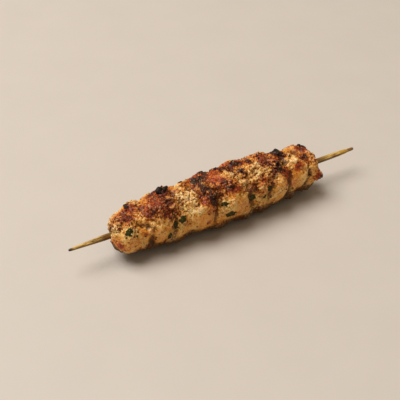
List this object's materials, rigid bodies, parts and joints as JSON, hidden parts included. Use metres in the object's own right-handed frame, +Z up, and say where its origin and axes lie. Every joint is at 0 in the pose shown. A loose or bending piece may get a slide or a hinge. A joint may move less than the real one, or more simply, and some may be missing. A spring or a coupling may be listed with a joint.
{
  "type": "chicken kebab skewer",
  "caption": "Grilled minced chicken kebab moulded by hand round a bamboo skewer, lying on its side, with a bare point and a bare butt end.",
  "frame": {"origin": "middle of the whole in plan, on the surface that the meat rests on", "axes": "+X along the skewer towards its butt end, +Z up"},
  "size_m": [0.25, 0.0468, 0.0425],
  "materials": {
    "chicken": "grilled minced chicken, golden with browned and charred lumps, slightly greasy",
    "bamboo": "split bamboo, fine lengthwise fibres, scorched point",
    "herb": "chopped green herb, wilted, slightly glossy",
    "char": "charred and dark brown crumbs of mince, rough"
  },
  "bodies": {
    "root": {"minced_chicken": "chicken", "bamboo_skewer": "bamboo"}
  },
  "joints": []
}
